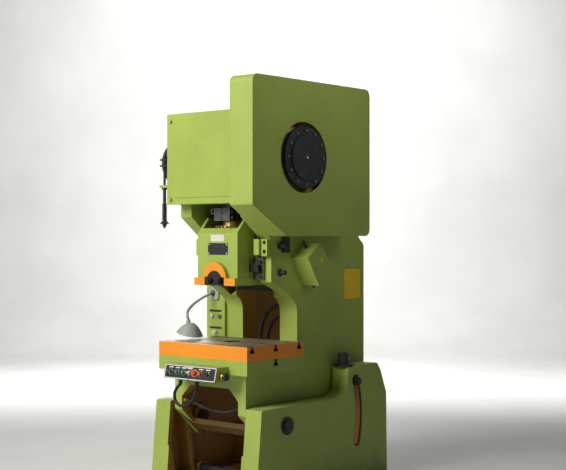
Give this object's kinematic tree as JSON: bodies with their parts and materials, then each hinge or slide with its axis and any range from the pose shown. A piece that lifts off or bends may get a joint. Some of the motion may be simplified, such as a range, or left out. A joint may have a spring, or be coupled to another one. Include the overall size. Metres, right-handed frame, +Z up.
{
  "type": "mechanical stamping press",
  "caption": "Open-back inclinable mechanical press: C-frame on tilting legs, crank-driven slide over a T-slotted bolster, gear train, brake, lamp and controls.",
  "frame": {"origin": "centre of the four foundation bolt holes, on the floor", "axes": "+Z up, +X to the operator's right as seen from the front, +Y away from the operator"},
  "size_m": [1.278, 1.7105, 2.847],
  "materials": {
    "green_paint": "semi-gloss machine enamel",
    "green_casting": "painted casting, semi-gloss enamel",
    "bolster_orange": "painted sides, ground oiled top",
    "gear_orange": "painted, oily",
    "black_steel": "black oxide",
    "black_iron": "black paint",
    "machined_steel": "turned and ground",
    "bronze": "machined bronze",
    "grey_paint": "smooth enamel",
    "belt_rubber": "matte",
    "cable_rubber": "satin",
    "button_green": "gloss",
    "button_red": "gloss",
    "button_white": "gloss",
    "button_black": "satin"
  },
  "bodies": {
    "legs": {"leg_left": "green_casting", "leg_right": "green_casting", "leg_tie_rods": "black_steel", "pivot_pins": "black_steel", "slot_rims": "black_steel", "tilt_lock_nuts": "black_steel"},
    "frame": {"c_frame": "green_casting", "slot_bolts": "black_steel", "bolster_plate": "bolster_orange", "crank_bushes": "bronze", "gib_left": "green_paint", "gib_right": "green_paint", "gib_screws": "black_steel", "knockout_stops": "black_steel", "backshaft_housings": "green_casting", "motor": "green_paint", "motor_mount": "green_paint", "v_belts": "belt_rubber", "gear_guard": "green_paint", "guard_back": "green_paint", "crank_cover": "green_paint", "brake_band": "black_iron", "brake_bracket": "green_paint", "brake_rod": "black_steel", "clutch_box": "green_paint", "switch_box": "green_paint", "lamp_arm": "grey_paint", "lamp_shade": "grey_paint", "control_box": "green_paint", "loop_cable": "cable_rubber", "arch_cable": "cable_rubber", "throat_hose_upper": "cable_rubber", "throat_hose_lower": "cable_rubber"},
    "crank": {"crankshaft": "machined_steel", "brake_drum": "black_iron"},
    "rod": {"connecting_rod": "machined_steel", "rod_cap": "machined_steel", "adjusting_screw": "machined_steel", "ratchet_ring": "bronze"},
    "slide": {"slide_body": "green_casting", "shank_clamp": "black_steel", "clamp_nuts": "black_steel"},
    "knockout": {"knockout_bar": "black_steel"},
    "gear": {"main_gear": "gear_orange", "clutch_cap": "black_steel"},
    "backshaft_body": {"backshaft": "machined_steel", "pinion": "machined_steel", "flywheel": "black_iron"},
    "motor_shaft": {"motor_pulley": "black_iron"},
    "side_push": {"side_button": "button_green"},
    "side_switch": {"side_rotary": "button_white"},
    "key_switch": {"key_selector": "machined_steel"},
    "run_left": {"run_button_left": "button_green"},
    "run_right": {"run_button_right": "button_green"},
    "mode_switch": {"mode_selector": "button_white"},
    "stop_push": {"stop_button": "button_red"},
    "off_push": {"off_button": "button_red"},
    "inch_push": {"inch_button": "button_black"},
    "palm_left": {"palm_button_left": "button_black"},
    "palm_right": {"palm_button_right": "button_black"}
  },
  "joints": [
    {"name": "frame_tilt", "type": "hinge", "parent": "legs", "child": "frame", "pos_m": [0, -0.386, 0.472], "axis": [-1, 0, 0], "range_deg": [0, 25]},
    {"name": "crank_turn", "type": "hinge", "parent": "frame", "child": "crank", "pos_m": [0, -0.39, 2.319], "axis": [-1, 0, 0], "range_deg": [0, 180]},
    {"name": "rod_swing", "type": "hinge", "parent": "crank", "child": "rod", "pos_m": [0, -0.39, 2.384], "axis": [-1, 0, 0], "range_deg": [-180, 0]},
    {"name": "slide_travel", "type": "slide", "parent": "frame", "child": "slide", "axis": [0, 0, -1], "range_m": [0, 0.13]},
    {"name": "knockout_lift", "type": "slide", "parent": "slide", "child": "knockout", "axis": [0, 0, 1], "range_m": [0, 0.04]},
    {"name": "gear_spin", "type": "hinge", "parent": "frame", "child": "gear", "pos_m": [0, -0.39, 2.319], "axis": [1, 0, 0], "continuous": true},
    {"name": "flywheel_spin", "type": "hinge", "parent": "frame", "child": "backshaft_body", "pos_m": [0, 0.18, 2.319], "axis": [1, 0, 0], "continuous": true},
    {"name": "motor_spin", "type": "hinge", "parent": "frame", "child": "motor_shaft", "pos_m": [0, 0.62736, 2.14718], "axis": [1, 0, 0], "continuous": true},
    {"name": "side_button_push", "type": "slide", "parent": "frame", "child": "side_push", "axis": [0, 1, 0], "range_m": [0, 0.005], "stiffness_N_per_m": 400},
    {"name": "side_switch_turn", "type": "hinge", "parent": "frame", "child": "side_switch", "pos_m": [-0.446, -0.11, 1.054], "axis": [0, 1, 0], "range_deg": [0, 90]},
    {"name": "key_turn", "type": "hinge", "parent": "frame", "child": "key_switch", "pos_m": [-0.188, -0.816, 0.838], "axis": [0, 0.9744, -0.225], "range_deg": [0, 90]},
    {"name": "mode_turn", "type": "hinge", "parent": "frame", "child": "mode_switch", "pos_m": [-0.004, -0.816, 0.838], "axis": [0, 0.9744, -0.225], "range_deg": [-45, 45]},
    {"name": "run_left_press", "type": "slide", "parent": "frame", "child": "run_left", "axis": [0, 0.9744, -0.225], "range_m": [0, 0.005], "stiffness_N_per_m": 400},
    {"name": "run_right_press", "type": "slide", "parent": "frame", "child": "run_right", "axis": [0, 0.9744, -0.225], "range_m": [0, 0.005], "stiffness_N_per_m": 400},
    {"name": "stop_press", "type": "slide", "parent": "frame", "child": "stop_push", "axis": [0, 0.9744, -0.225], "range_m": [0, 0.005], "stiffness_N_per_m": 400},
    {"name": "off_press", "type": "slide", "parent": "frame", "child": "off_push", "axis": [0, 0.9744, -0.225], "range_m": [0, 0.005], "stiffness_N_per_m": 400},
    {"name": "inch_press", "type": "slide", "parent": "frame", "child": "inch_push", "axis": [0, 0.9744, -0.225], "range_m": [0, 0.005], "stiffness_N_per_m": 400},
    {"name": "palm_left_press", "type": "slide", "parent": "frame", "child": "palm_left", "axis": [1, 0, 0], "range_m": [0, 0.005], "stiffness_N_per_m": 400},
    {"name": "palm_right_press", "type": "slide", "parent": "frame", "child": "palm_right", "axis": [-1, 0, 0], "range_m": [0, 0.005], "stiffness_N_per_m": 400}
  ],
  "couplings": [
    {"joint": "rod_swing", "follows": "crank_turn", "ratio": -1},
    {"joint": "slide_travel", "follows": "crank_turn", "m_per_rad": 0.04138},
    {"joint": "flywheel_spin", "follows": "gear_spin", "ratio": -5.3333},
    {"joint": "motor_spin", "follows": "gear_spin", "ratio": -26.311}
  ]
}
